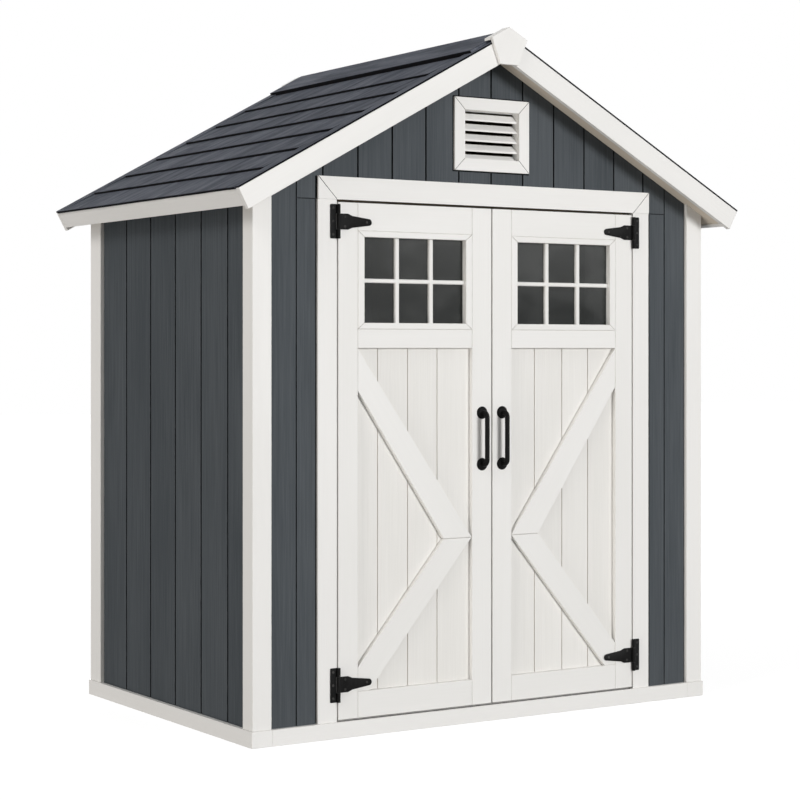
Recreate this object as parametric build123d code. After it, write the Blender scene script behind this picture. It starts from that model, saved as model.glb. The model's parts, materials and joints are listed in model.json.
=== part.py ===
from build123d import *
import math
import os

# Wooden garden shed, 6 ft by 4 ft, with a pair of braced and glazed doors.
# Millimetres. X runs along the front to the viewer's right, Y from the front to the back, and Z is up.
# The origin is on the ground, under the middle of the shed. Left and right are those of a viewer
# who faces the doors.

# Walls over the corner posts
WIDTH = 1830.0
DEPTH = 1212.0
SIDE = WIDTH / 2
FRONT = -DEPTH / 2
BACK = DEPTH / 2

# Bottom frame and floor
BASE_HEIGHT = 52.0
BASE_LEDGE = 5.0
BASE_TIMBER = 74.0
FLOOR_THICKNESS = 18.0
JOIST_WIDTH = 44.0
JOIST_PITCH = 424.0

# Corner posts, boarding and inner framing
POST_WIDTH = 68.0
FRONT_POST_DEPTH = 64.0
BACK_POST_DEPTH = 84.0
BOARD_SETBACK = 10.0
BOARD_THICKNESS = 16.0
STUD = 38.0
STUD_TOP_Z = 1725.0
STUD_PLATE_HEIGHT = 38.0
BACK_STUD_X = 283.0
SHADOW_GAP = 0.5
POST_INNER_X = SIDE - POST_WIDTH
POST_GAP_Y = (FRONT + FRONT_POST_DEPTH, BACK - BACK_POST_DEPTH)
BOARD_OUTER_X = SIDE - BOARD_SETBACK
BOARD_INNER_X = BOARD_OUTER_X - BOARD_THICKNESS
BOARD_FRONT_Y = FRONT + BOARD_SETBACK
BOARD_REAR_Y = BOARD_FRONT_Y + BOARD_THICKNESS
FRAME_REAR_Y = BOARD_REAR_Y + STUD

# Roof: s runs down the slope from the ridge line and n stands square to the slope
ROOF_ANGLE = math.radians(28.5)
RIDGE_Z = 2280.0
SLOPE_LENGTH = 1148.0
OVERHANG = 86.0
BARGE_DEPTH = 70.0
BARGE_RISE = 2.0
FASCIA_DEPTH = 58.0
TRIM_THICKNESS = 18.0
DECK_THICKNESS = 14.0
SOFFIT_DEPTH = 54.0
SOFFIT_THICKNESS = 10.0
COURSE_COUNT = 7
COURSE_PITCH = 140.5
COURSE_BUTT = 10.0
COURSE_HEAD = 3.0
EAVE_BUTT = 8.0
EAVE_DRIP = 4.0
RAKE_STRIP_WIDTH = 40.0
RAKE_STRIP_THICKNESS = 8.0
CAP_WIDTH = 150.0
CAP_THICKNESS = 17.0
RIDGE_BEAM_WIDTH = 40.0
RIDGE_BEAM_DEPTH = 80.0
PURLIN_S = 560.0
PURLIN_WIDTH = 38.0
PURLIN_DEPTH = 60.0

# Plates that close the ends of the ridge; the front one has a hood over the cap
PLATE_THICKNESS = 12.0
PLATE_HALF_TOP = 72.0
PLATE_HALF_BOTTOM = 37.5
PLATE_BOTTOM_Z = 2183.0
HOOD_THICKNESS = 8.0
HOOD_LENGTH = 32.0
BACK_PLATE_TOP = 16.0

# Door opening and its casing
OPENING_HALF = 606.0
CASING_HALF = 676.0
CASING_SETBACK = 5.0
HEAD_Z = 1720.0
HEADER_TOP_Z = 1793.0
HEADER_PROUD = 3.0
GABLE_HALF = 752.0
STOP_WIDTH = 18.0
STOP_DEPTH = 20.0

# Door leaf, right-hand one of the pair
DOOR_OUTER_X = 601.0
DOOR_INNER_X = 2.5
DOOR_BOTTOM_Z = 57.0
DOOR_TOP_Z = 1712.5
DOOR_FACE_Y = FRONT + CASING_SETBACK
STILE_DEPTH = 32.0
HINGE_STILE_X = 527.0
MEETING_STILE_X = 81.0
BOTTOM_RAIL_TOP_Z = 142.0
MID_RAIL_BOTTOM_Z = 1245.0
WINDOW_BOTTOM_Z = 1307.0
WINDOW_TOP_Z = 1623.0
PANEL_SETBACK = 16.0
PANEL_THICKNESS = 14.0
BRACE_SETBACK = 1.0
BRACE_APEX_Z = 616.0
BRACE_INNER_APEX_X = 194.0
BRACE_UPPER_START_Z = 1109.0
BRACE_LOWER_START_Z = 219.0
BRACE_FOOT_X = 481.0
WINDOW_SIDE_TRIM = 25.0
WINDOW_END_TRIM = 20.0
WINDOW_TRIM_PROUD = 1.0
GLASS_SETBACK = 20.0
GLASS_THICKNESS = 4.0
MITRE_GAP = 0.6

# Pull handle
HANDLE_X = 41.0
HANDLE_LOW_Z = 858.0
HANDLE_HIGH_Z = 1030.0
HANDLE_STANDOFF = 31.0
HANDLE_RADIUS = 8.0
HANDLE_SIDES = 16
HANDLE_BEND = 16.0
ROSETTE_RADIUS = 21.0
ROSETTE_RIM = 2.4
ROSETTE_CROWN_RADIUS = 11.0
ROSETTE_HEIGHT = 8.0

# Tee hinge
HINGE_X = 603.5
HINGE_Y = DOOR_FACE_Y - 7.0
HINGE_LOW_Z = 170.0
HINGE_HIGH_Z = 1650.0
HINGE_PLATE = 3.0
BARREL_RADIUS = 6.0
PIN_RADIUS = 2.5
PIN_CLEARANCE = 0.08
KNUCKLE_GAP = 0.5
LEAF_HALF_HEIGHT = 55.0
LEAF_OUTER = 28.0
LEAF_INNER = 7.0
STRAP_ROOT_HALF = 25.5
STRAP_ROOT_LENGTH = 38.0
STRAP_NECK_HALF = 19.0
STRAP_NECK_LENGTH = 54.0
STRAP_TIP_HALF = 11.0
STRAP_LENGTH = 127.0
CORNER_RADIUS = 4.0

# Gable vent
VENT_HALF_WIDTH = 152.0
VENT_BOTTOM_Z = 1836.0
VENT_TOP_Z = 2079.0
VENT_TRIM_WIDTH = 41.0
VENT_PROUD = 8.0
SLAT_COUNT = 4
SLAT_PITCH = 34.0
SLAT_HEAD_GAP = 8.0
SLAT_RECESS = 12.0
SLAT_DEPTH = 22.0
SLAT_DROP = 20.0
SLAT_THICKNESS = 7.0

COS = math.cos(ROOF_ANGLE)
SIN = math.sin(ROOF_ANGLE)
TAN = math.tan(ROOF_ANGLE)


def box(x0, x1, y0, y1, z0, z1):
    """Axis-aligned block between six planes."""
    size = (abs(x1 - x0), abs(y1 - y0), abs(z1 - z0))
    centre = ((x0 + x1) / 2, (y0 + y1) / 2, (z0 + z1) / 2)
    return Pos(*centre) * Box(*size)


def prism_along_y(points, y0, y1):
    """Outline given in X and Z, drawn out from y0 to y1."""
    face = Plane.XZ.offset(-y1) * Polygon(*points, align=None)
    return extrude(face, amount=y1 - y0, dir=(0, -1, 0))


def prism_along_x(points, x0, x1):
    """Outline given in Y and Z, drawn out from x0 to x1."""
    face = Plane.YZ.offset(x0) * Polygon(*points, align=None)
    return extrude(face, amount=x1 - x0, dir=(1, 0, 0))


def mirrored(shape):
    """The same piece on the other side of the shed's middle."""
    return mirror(shape, about=Plane.YZ)


def to_back(shape):
    """The same piece on the back of the shed."""
    return mirror(shape, about=Plane.XZ)


def group(*shapes):
    """Separate solids that share one node."""
    solids = []
    for shape in shapes:
        solids.extend(shape.solids())
    return Compound(children=solids)


def on_slope(s, n):
    """Point of the right-hand slope, s down from the ridge and n above the deck's top."""
    return (s * COS + n * SIN, RIDGE_Z - s * SIN + n * COS)


def slope_z(x, n):
    """Height at x of the line that lies n above the deck's top."""
    return RIDGE_Z + n / COS - TAN * abs(x)


def slope_strip(s0, s1, n0, n1, y0, y1):
    """Board that lies on the right-hand slope."""
    corners = [on_slope(s0, n0), on_slope(s1, n0), on_slope(s1, n1), on_slope(s0, n1)]
    return prism_along_y(corners, y0, y1)


def ridge_board(s1, n0, n1, y0, y1):
    """Board on the right-hand slope, cut plumb at the ridge a hairline from its neighbour."""
    x = MITRE_GAP / 2
    corners = [(x, slope_z(x, n0)), on_slope(s1, n0), on_slope(s1, n1), (x, slope_z(x, n1))]
    return prism_along_y(corners, y0, y1)


def mitred_frame(x0, x1, z0, z1, side, end, y0, y1):
    """Four boards round a rectangle, mitred at the corners with a hairline between them."""
    cut = MITRE_GAP / 2
    in_x0 = x0 + side
    in_x1 = x1 - side
    in_z0 = z0 + end
    in_z1 = z1 - end
    outlines = [
        [(x0 + cut, z0), (x1 - cut, z0), (in_x1 - cut, in_z0), (in_x0 + cut, in_z0)],
        [(x0 + cut, z1), (x1 - cut, z1), (in_x1 - cut, in_z1), (in_x0 + cut, in_z1)],
        [(x0, z0 + cut), (x0, z1 - cut), (in_x0, in_z1 - cut), (in_x0, in_z0 + cut)],
        [(x1, z0 + cut), (x1, z1 - cut), (in_x1, in_z1 - cut), (in_x1, in_z0 + cut)],
    ]
    return [prism_along_y(outline, y0, y1) for outline in outlines]


def base_pieces():
    """Bottom frame of four timbers, with joists and a boarded floor between them."""
    outer_x = SIDE + BASE_LEDGE
    outer_y = BACK + BASE_LEDGE
    inner_x = outer_x - BASE_TIMBER
    inner_y = outer_y - BASE_TIMBER
    right = box(inner_x, outer_x, -outer_y, outer_y, 0, BASE_HEIGHT)
    back = box(-inner_x, inner_x, inner_y, outer_y, 0, BASE_HEIGHT)
    joist_top = BASE_HEIGHT - FLOOR_THICKNESS
    joists = []
    for x in (-JOIST_PITCH, 0, JOIST_PITCH):
        joists.append(box(x - JOIST_WIDTH / 2, x + JOIST_WIDTH / 2, -inner_y, inner_y, 0, joist_top))
    return {
        "base_side_rails": group(right, mirrored(right)),
        "base_end_rails": group(back, to_back(back)),
        "floor_joists": group(*joists),
        "floor": box(-inner_x, inner_x, -inner_y, inner_y, joist_top, BASE_HEIGHT),
    }


def corner_posts():
    """Four square posts that run up to the roof deck."""
    corners = [
        (POST_INNER_X, BASE_HEIGHT),
        (SIDE, BASE_HEIGHT),
        (SIDE, slope_z(SIDE, -DECK_THICKNESS)),
        (POST_INNER_X, slope_z(POST_INNER_X, -DECK_THICKNESS)),
    ]
    front = prism_along_y(corners, FRONT, POST_GAP_Y[0])
    back = prism_along_y(corners, POST_GAP_Y[1], BACK)
    return {"corner_posts": group(front, mirrored(front), back, mirrored(back))}


def boarded_walls():
    """Boarding of the sides, the back, the two strips beside the doors and the gable over them."""
    deck = -DECK_THICKNESS
    side_outline = [
        (BOARD_INNER_X, BASE_HEIGHT),
        (BOARD_OUTER_X, BASE_HEIGHT),
        (BOARD_OUTER_X, slope_z(BOARD_OUTER_X, deck)),
        (BOARD_INNER_X, slope_z(BOARD_INNER_X, deck)),
    ]
    right = prism_along_y(side_outline, *POST_GAP_Y)
    eave_z = slope_z(POST_INNER_X, deck)
    back_outline = [
        (-POST_INNER_X, BASE_HEIGHT),
        (POST_INNER_X, BASE_HEIGHT),
        (POST_INNER_X, eave_z),
        (0, slope_z(0, deck)),
        (-POST_INNER_X, eave_z),
    ]
    back_plane = (-BOARD_REAR_Y, -BOARD_FRONT_Y)
    front_plane = (BOARD_FRONT_Y, BOARD_REAR_Y)
    corner_outline = [
        (GABLE_HALF + SHADOW_GAP, BASE_HEIGHT),
        (POST_INNER_X, BASE_HEIGHT),
        (POST_INNER_X, eave_z),
        (GABLE_HALF + SHADOW_GAP, slope_z(GABLE_HALF + SHADOW_GAP, deck)),
    ]
    beside_post = prism_along_y(corner_outline, *front_plane)
    beside_door = box(CASING_HALF, GABLE_HALF, *front_plane, BASE_HEIGHT, HEAD_Z - SHADOW_GAP)
    front_right = group(beside_post, beside_door)
    gable_outline = [
        (-GABLE_HALF, HEAD_Z),
        (GABLE_HALF, HEAD_Z),
        (GABLE_HALF, slope_z(GABLE_HALF, deck)),
        (0, slope_z(0, deck)),
        (-GABLE_HALF, slope_z(GABLE_HALF, deck)),
    ]
    hole_half = VENT_HALF_WIDTH - VENT_TRIM_WIDTH
    hole_z = (VENT_BOTTOM_Z + VENT_TRIM_WIDTH, VENT_TOP_Z - VENT_TRIM_WIDTH)
    gable = prism_along_y(gable_outline, *front_plane) - box(-hole_half, hole_half, *front_plane, *hole_z)
    return {
        "left_wall": mirrored(right),
        "right_wall": right,
        "back_wall": prism_along_y(back_outline, *back_plane),
        "front_wall_left": mirrored(front_right),
        "front_wall_right": front_right,
        "front_gable": gable,
    }


def wall_framing():
    """Studs and plates that show inside; the front top plate is the lintel over the doors."""
    stud_x = (POST_INNER_X, BOARD_INNER_X)
    back_y = (-FRAME_REAR_Y, -BOARD_REAR_Y)
    stud_z = (BASE_HEIGHT + STUD_PLATE_HEIGHT, STUD_TOP_Z)
    top_z = STUD_TOP_Z + STUD_PLATE_HEIGHT
    plates = []
    for z0, z1 in ((BASE_HEIGHT, stud_z[0]), (stud_z[1], top_z)):
        side_plate = box(*stud_x, *POST_GAP_Y, z0, z1)
        plates.extend([side_plate, mirrored(side_plate)])
        plates.append(box(-POST_INNER_X, POST_INNER_X, *back_y, z0, z1))
    side_stud = box(*stud_x, -STUD / 2, STUD / 2, *stud_z)
    back_stud = box(BACK_STUD_X - STUD / 2, BACK_STUD_X + STUD / 2, *back_y, *stud_z)
    studs = [side_stud, mirrored(side_stud), back_stud, mirrored(back_stud)]
    plates.append(box(-POST_INNER_X, POST_INNER_X, BOARD_REAR_Y, FRAME_REAR_Y, HEAD_Z, top_z))
    return {"wall_plates": group(*plates), "wall_studs": group(*studs)}


def door_casing():
    """Jambs, the mitred header with its two end returns, and the stops behind the doors."""
    jamb = box(OPENING_HALF, CASING_HALF, DOOR_FACE_Y, FRAME_REAR_Y, BASE_HEIGHT, HEAD_Z)
    header_y = (DOOR_FACE_Y - HEADER_PROUD, BOARD_FRONT_Y)
    header_outline = [
        (-OPENING_HALF, HEAD_Z),
        (OPENING_HALF, HEAD_Z),
        (CASING_HALF - MITRE_GAP, HEADER_TOP_Z),
        (MITRE_GAP - CASING_HALF, HEADER_TOP_Z),
    ]
    return_outline = [
        (OPENING_HALF + MITRE_GAP, HEAD_Z),
        (CASING_HALF, HEAD_Z),
        (CASING_HALF, HEADER_TOP_Z),
    ]
    header = prism_along_y(header_outline, *header_y)
    end_return = prism_along_y(return_outline, *header_y)
    stop_y = (FRAME_REAR_Y - STOP_DEPTH, FRAME_REAR_Y)
    stop_inner_x = OPENING_HALF - STOP_WIDTH
    side_stop = box(stop_inner_x, OPENING_HALF, *stop_y, BASE_HEIGHT, HEAD_Z)
    head_x = stop_inner_x - SHADOW_GAP
    head_stop = box(-head_x, head_x, *stop_y, HEAD_Z - STOP_WIDTH, HEAD_Z)
    return {
        "door_jambs": group(jamb, mirrored(jamb)),
        "door_header": group(header, end_return, mirrored(end_return)),
        "door_stops": group(side_stop, mirrored(side_stop), head_stop),
    }


def gable_vent():
    """Mitred frame, sloping slats and sloping sill of the louvred vent."""
    x = VENT_HALF_WIDTH
    frame_y = (BOARD_FRONT_Y - VENT_PROUD, BOARD_FRONT_Y)
    frame = mitred_frame(-x, x, VENT_BOTTOM_Z, VENT_TOP_Z, VENT_TRIM_WIDTH, VENT_TRIM_WIDTH, *frame_y)
    hole_half = x - VENT_TRIM_WIDTH
    hole_bottom = VENT_BOTTOM_Z + VENT_TRIM_WIDTH
    hole_top = VENT_TOP_Z - VENT_TRIM_WIDTH
    front_y = frame_y[0] + SLAT_RECESS
    rear_y = front_y + SLAT_DEPTH
    slat_height = SLAT_DROP + SLAT_THICKNESS
    z = hole_top - SLAT_HEAD_GAP - slat_height
    outlines = []
    for _ in range(SLAT_COUNT):
        low = [(front_y, z), (rear_y, z + SLAT_DROP)]
        high = [(rear_y, z + slat_height), (front_y, z + SLAT_THICKNESS)]
        outlines.append(low + high)
        z -= SLAT_PITCH
    sill_y = front_y + (hole_bottom - z - SLAT_THICKNESS) * SLAT_DEPTH / SLAT_DROP
    outlines.append([(sill_y, hole_bottom), (rear_y, hole_bottom), (rear_y, z + slat_height)])
    slats = [prism_along_x(outline, -hole_half, hole_half) for outline in outlines]
    return {"vent_frame": group(*frame), "vent_louvres": group(*slats)}


def roof_structure():
    """Deck, ridge beam, purlins and the boxed-in soffits."""
    rake_inner_y = BACK + OVERHANG - TRIM_THICKNESS
    fascia_s = SLOPE_LENGTH - TRIM_THICKNESS
    deck = ridge_board(fascia_s, -DECK_THICKNESS, 0, -rake_inner_y, rake_inner_y)
    inside_y = (BOARD_REAR_Y, -BOARD_REAR_Y)
    half = RIDGE_BEAM_WIDTH / 2
    beam_z = slope_z(0, -DECK_THICKNESS) - RIDGE_BEAM_DEPTH
    beam_outline = [
        (-half, beam_z),
        (half, beam_z),
        (half, slope_z(half, -DECK_THICKNESS)),
        (0, slope_z(0, -DECK_THICKNESS)),
        (-half, slope_z(half, -DECK_THICKNESS)),
    ]
    ridge_beam = prism_along_y(beam_outline, *inside_y)
    purlin_s = (PURLIN_S - PURLIN_WIDTH / 2, PURLIN_S + PURLIN_WIDTH / 2)
    purlin = slope_strip(*purlin_s, -DECK_THICKNESS - PURLIN_DEPTH, -DECK_THICKNESS, *inside_y)
    n0 = -SOFFIT_DEPTH
    n1 = SOFFIT_THICKNESS - SOFFIT_DEPTH
    rake_soffit = ridge_board(fascia_s, n0, n1, BACK, rake_inner_y)
    seam_x = MITRE_GAP / 2
    between_posts = [
        (seam_x, slope_z(seam_x, n0)),
        (POST_INNER_X, slope_z(POST_INNER_X, n0)),
        (POST_INNER_X, slope_z(POST_INNER_X, n1)),
        (seam_x, slope_z(seam_x, n1)),
    ]
    rake_soffit += prism_along_y(between_posts, BACK - BOARD_SETBACK, BACK)
    eave_soffit = prism_along_y(eave_section(SIDE, n0, n1), -BACK, BACK)
    eave_soffit += prism_along_y(eave_section(BOARD_OUTER_X, n0, n1), *POST_GAP_Y)
    back_soffits = group(rake_soffit, mirrored(rake_soffit))
    return {
        "roof_deck": group(deck, mirrored(deck)),
        "roof_beams": group(ridge_beam, purlin, mirrored(purlin)),
        "rake_soffits": group(back_soffits, to_back(back_soffits)),
        "eave_soffits": group(eave_soffit, mirrored(eave_soffit)),
    }


def eave_section(inner_x, n0, n1):
    """Cross-section of the soffit board from a plumb inner edge out to the fascia."""
    fascia_s = SLOPE_LENGTH - TRIM_THICKNESS
    return [
        (inner_x, slope_z(inner_x, n0)),
        on_slope(fascia_s, n0),
        on_slope(fascia_s, n1),
        (inner_x, slope_z(inner_x, n1)),
    ]


def roof_trim():
    """Barge boards on both gables, eave fascias, and the plates at the ends of the ridge."""
    rake_y = (BACK + OVERHANG - TRIM_THICKNESS, BACK + OVERHANG)
    barge = ridge_board(SLOPE_LENGTH, -BARGE_DEPTH, BARGE_RISE, *rake_y)
    fascia_s = (SLOPE_LENGTH - TRIM_THICKNESS, SLOPE_LENGTH)
    fascia = slope_strip(*fascia_s, -FASCIA_DEPTH, 0, -rake_y[0], rake_y[0])
    hood_top = CAP_THICKNESS + HOOD_THICKNESS
    face_y = rake_y[1] + PLATE_THICKNESS
    back_plate = prism_along_y(ridge_plate_outline(BACK_PLATE_TOP), rake_y[1], face_y)
    front_plate = prism_along_y(ridge_plate_outline(hood_top), -face_y, -rake_y[1])
    hood_outline = [
        (0, slope_z(0, CAP_THICKNESS)),
        (PLATE_HALF_TOP, slope_z(PLATE_HALF_TOP, CAP_THICKNESS)),
        (PLATE_HALF_TOP, slope_z(PLATE_HALF_TOP, hood_top)),
        (0, slope_z(0, hood_top)),
        (-PLATE_HALF_TOP, slope_z(PLATE_HALF_TOP, hood_top)),
        (-PLATE_HALF_TOP, slope_z(PLATE_HALF_TOP, CAP_THICKNESS)),
    ]
    front_plate += prism_along_y(hood_outline, -rake_y[1], HOOD_LENGTH - rake_y[1])
    back_barges = group(barge, mirrored(barge))
    return {
        "barge_boards": group(back_barges, to_back(back_barges)),
        "eave_fascias": group(fascia, mirrored(fascia)),
        "ridge_plates": group(front_plate, back_plate),
    }


def ridge_plate_outline(top):
    """Tapered plate with a gabled head that follows the slopes."""
    return [
        (-PLATE_HALF_BOTTOM, PLATE_BOTTOM_Z),
        (PLATE_HALF_BOTTOM, PLATE_BOTTOM_Z),
        (PLATE_HALF_TOP, slope_z(PLATE_HALF_TOP, top)),
        (0, slope_z(0, top)),
        (-PLATE_HALF_TOP, slope_z(PLATE_HALF_TOP, top)),
    ]


def course_board(index, y_half):
    """One tapered roof course, thin at its head and thick at its lower edge."""
    foot_s = SLOPE_LENGTH - index * COURSE_PITCH
    head_s = foot_s - COURSE_PITCH + SHADOW_GAP
    butt = COURSE_BUTT
    if index == 0:
        foot_s += EAVE_DRIP
        butt = EAVE_BUTT
    if index == COURSE_COUNT - 1:
        head_s = CAP_WIDTH + SHADOW_GAP
    underside = [on_slope(head_s, 0), on_slope(foot_s, 0)]
    top = [on_slope(foot_s, butt), on_slope(head_s, COURSE_HEAD)]
    return prism_along_y(underside + top, -y_half, y_half)


def roof_covering():
    """Lapped courses between strips that lip over the barge boards, and a two-board ridge cap."""
    deck_edge = BACK + OVERHANG - TRIM_THICKNESS
    rake_edge = BACK + OVERHANG
    strip_inner = deck_edge - RAKE_STRIP_WIDTH
    courses = [course_board(index, strip_inner) for index in range(COURSE_COUNT)]
    right = group(*courses)
    strip_s = (CAP_WIDTH + SHADOW_GAP, SLOPE_LENGTH + EAVE_DRIP)
    strip = slope_strip(*strip_s, 0, RAKE_STRIP_THICKNESS, strip_inner, deck_edge)
    strip += ridge_board(SLOPE_LENGTH, BARGE_RISE, RAKE_STRIP_THICKNESS, deck_edge, rake_edge)
    back_strips = group(strip, mirrored(strip))
    cap = ridge_board(CAP_WIDTH, 0, CAP_THICKNESS, -deck_edge, deck_edge)
    return {
        "roof_courses": group(right, mirrored(right)),
        "rake_strips": group(back_strips, to_back(back_strips)),
        "ridge_cap": group(cap, mirrored(cap)),
    }


def door_woodwork():
    """Stiles, rails, boarded panel and braces of the right-hand door."""
    frame_y = (DOOR_FACE_Y, DOOR_FACE_Y + STILE_DEPTH)
    panel_y = (DOOR_FACE_Y + PANEL_SETBACK, DOOR_FACE_Y + PANEL_SETBACK + PANEL_THICKNESS)
    brace_y = (DOOR_FACE_Y + BRACE_SETBACK, DOOR_FACE_Y + PANEL_SETBACK)
    leaf_z = (DOOR_BOTTOM_Z, DOOR_TOP_Z)
    hinge_stile = box(HINGE_STILE_X, DOOR_OUTER_X, *frame_y, *leaf_z)
    meeting_stile = box(DOOR_INNER_X, MEETING_STILE_X, *frame_y, *leaf_z)
    rail_levels = [
        (DOOR_BOTTOM_Z, BOTTOM_RAIL_TOP_Z),
        (MID_RAIL_BOTTOM_Z, WINDOW_BOTTOM_Z),
        (WINDOW_TOP_Z, DOOR_TOP_Z),
    ]
    rails = [box(MEETING_STILE_X, HINGE_STILE_X, *frame_y, *level) for level in rail_levels]
    panel = box(MEETING_STILE_X, HINGE_STILE_X, *panel_y, BOTTOM_RAIL_TOP_Z, MID_RAIL_BOTTOM_Z)
    seam = MITRE_GAP / 2
    upper = [
        (HINGE_STILE_X, MID_RAIL_BOTTOM_Z),
        (HINGE_STILE_X, BRACE_UPPER_START_Z),
        (BRACE_INNER_APEX_X, BRACE_APEX_Z + seam),
        (MEETING_STILE_X, BRACE_APEX_Z + seam),
    ]
    lower = [
        (HINGE_STILE_X, BRACE_LOWER_START_Z),
        (BRACE_INNER_APEX_X, BRACE_APEX_Z - seam),
        (MEETING_STILE_X, BRACE_APEX_Z - seam),
        (BRACE_FOOT_X, BOTTOM_RAIL_TOP_Z),
        (HINGE_STILE_X, BOTTOM_RAIL_TOP_Z),
    ]
    braces = [prism_along_y(upper, *brace_y), prism_along_y(lower, *brace_y)]
    return {
        "stiles": group(hinge_stile, meeting_stile),
        "rails": group(*rails),
        "panel": panel,
        "braces": group(*braces),
    }


def door_window():
    """Mitred sash frame and the single pane behind its glazing bars."""
    frame_y = (DOOR_FACE_Y - WINDOW_TRIM_PROUD, DOOR_FACE_Y + STILE_DEPTH)
    x = (MEETING_STILE_X, HINGE_STILE_X)
    frame = mitred_frame(*x, WINDOW_BOTTOM_Z, WINDOW_TOP_Z, WINDOW_SIDE_TRIM, WINDOW_END_TRIM, *frame_y)
    glass_y = (DOOR_FACE_Y + GLASS_SETBACK, DOOR_FACE_Y + GLASS_SETBACK + GLASS_THICKNESS)
    glass_x = (x[0] + WINDOW_SIDE_TRIM, x[1] - WINDOW_SIDE_TRIM)
    glass_z = (WINDOW_BOTTOM_Z + WINDOW_END_TRIM, WINDOW_TOP_Z - WINDOW_END_TRIM)
    return {"window_frame": group(*frame), "window_glass": box(*glass_x, *glass_y, *glass_z)}


def pull_handle():
    """Bar of many narrow sides, bent back to the door at both ends on two rosettes."""
    bar_y = DOOR_FACE_Y - HANDLE_STANDOFF
    path = FilletPolyline(
        (HANDLE_X, DOOR_FACE_Y, HANDLE_LOW_Z),
        (HANDLE_X, bar_y, HANDLE_LOW_Z),
        (HANDLE_X, bar_y, HANDLE_HIGH_Z),
        (HANDLE_X, DOOR_FACE_Y, HANDLE_HIGH_Z),
        radius=HANDLE_BEND,
    )
    section = Plane(origin=path @ 0, z_dir=path % 0) * RegularPolygon(HANDLE_RADIUS, HANDLE_SIDES)
    handle = sweep(section, path=path)
    for z in (HANDLE_LOW_Z, HANDLE_HIGH_Z):
        handle += rosette(z)
    return handle


def rosette(z):
    """Disc with a bevelled crown, turned about the handle's end."""
    profile = Polygon(
        (0, 0),
        (ROSETTE_RADIUS, 0),
        (ROSETTE_RADIUS, ROSETTE_RIM),
        (ROSETTE_CROWN_RADIUS, ROSETTE_HEIGHT),
        (0, ROSETTE_HEIGHT),
        align=None,
    )
    turned = revolve(profile, axis=Axis.Y)
    return Pos(HANDLE_X, DOOR_FACE_Y, z) * Rot(180, 0, 0) * turned


def hinge_leaf(z):
    """Fixed leaf of a tee hinge, with its two knuckles and the pin."""
    plate_y = (DOOR_FACE_Y - HINGE_PLATE, DOOR_FACE_Y)
    knuckle_half = STRAP_ROOT_HALF + KNUCKLE_GAP
    outer_x = HINGE_X + LEAF_OUTER
    z_range = (z - LEAF_HALF_HEIGHT, z + LEAF_HALF_HEIGHT)
    leaf = box(HINGE_X + LEAF_INNER, outer_x, *plate_y, *z_range)
    corner_edges = leaf.edges().filter_by(Axis.Y).group_by(Axis.X)[-1]
    leaf = fillet(corner_edges, CORNER_RADIUS)
    height = LEAF_HALF_HEIGHT - knuckle_half
    for end in (-1, 1):
        middle = z + end * (knuckle_half + height / 2)
        leaf += box(HINGE_X, HINGE_X + LEAF_INNER, *plate_y, middle - height / 2, middle + height / 2)
        leaf += Pos(HINGE_X, HINGE_Y, middle) * Cylinder(BARREL_RADIUS, height)
    leaf += Pos(HINGE_X, HINGE_Y, z) * Cylinder(PIN_RADIUS, 2 * LEAF_HALF_HEIGHT)
    return leaf


def hinge_strap(z):
    """Moving strap of a tee hinge, from the middle knuckle to its rounded tip."""
    shoulder_x = HINGE_X - STRAP_ROOT_LENGTH
    neck_x = HINGE_X - STRAP_NECK_LENGTH
    tip_x = HINGE_X - STRAP_LENGTH
    round_x = tip_x + STRAP_TIP_HALF
    high = [
        Line((HINGE_X, z + STRAP_ROOT_HALF), (shoulder_x, z + STRAP_ROOT_HALF)),
        Line((shoulder_x, z + STRAP_ROOT_HALF), (neck_x, z + STRAP_NECK_HALF)),
        Line((neck_x, z + STRAP_NECK_HALF), (round_x, z + STRAP_TIP_HALF)),
    ]
    tip = ThreePointArc((round_x, z + STRAP_TIP_HALF), (tip_x, z), (round_x, z - STRAP_TIP_HALF))
    low = [
        Line((round_x, z - STRAP_TIP_HALF), (neck_x, z - STRAP_NECK_HALF)),
        Line((neck_x, z - STRAP_NECK_HALF), (shoulder_x, z - STRAP_ROOT_HALF)),
        Line((shoulder_x, z - STRAP_ROOT_HALF), (HINGE_X, z - STRAP_ROOT_HALF)),
        Line((HINGE_X, z - STRAP_ROOT_HALF), (HINGE_X, z + STRAP_ROOT_HALF)),
    ]
    outline = Plane.XZ.offset(-DOOR_FACE_Y) * make_face(high + [tip] + low)
    strap = extrude(outline, amount=HINGE_PLATE, dir=(0, -1, 0))
    strap += Pos(HINGE_X, HINGE_Y, z) * Cylinder(BARREL_RADIUS, 2 * STRAP_ROOT_HALF)
    return strap - Pos(HINGE_X, HINGE_Y, z) * Cylinder(PIN_RADIUS + PIN_CLEARANCE, 2 * LEAF_HALF_HEIGHT)


def doors():
    """Both leaves: the right-hand one, and its mirror image on the left."""
    pieces = door_woodwork()
    pieces.update(door_window())
    pieces["handle"] = pull_handle()
    pieces["hinge_straps"] = group(hinge_strap(HINGE_LOW_Z), hinge_strap(HINGE_HIGH_Z))
    nodes = {}
    for name, shape in pieces.items():
        nodes["right_door_" + name] = shape
        nodes["left_door_" + name] = mirrored(shape)
    leaves = group(hinge_leaf(HINGE_LOW_Z), hinge_leaf(HINGE_HIGH_Z))
    nodes["hinge_leaves"] = group(leaves, mirrored(leaves))
    return nodes


def all_nodes():
    """Every sub-part of the shed by name."""
    nodes = {}
    for maker in (
        base_pieces,
        corner_posts,
        boarded_walls,
        wall_framing,
        door_casing,
        gable_vent,
        roof_structure,
        roof_trim,
        roof_covering,
        doors,
    ):
        nodes.update(maker())
    return nodes


os.makedirs("parts", exist_ok=True)
for node_name, node_shape in all_nodes().items():
    export_step(node_shape, os.path.join("parts", node_name + ".step"))
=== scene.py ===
import json
import math
import random

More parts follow.
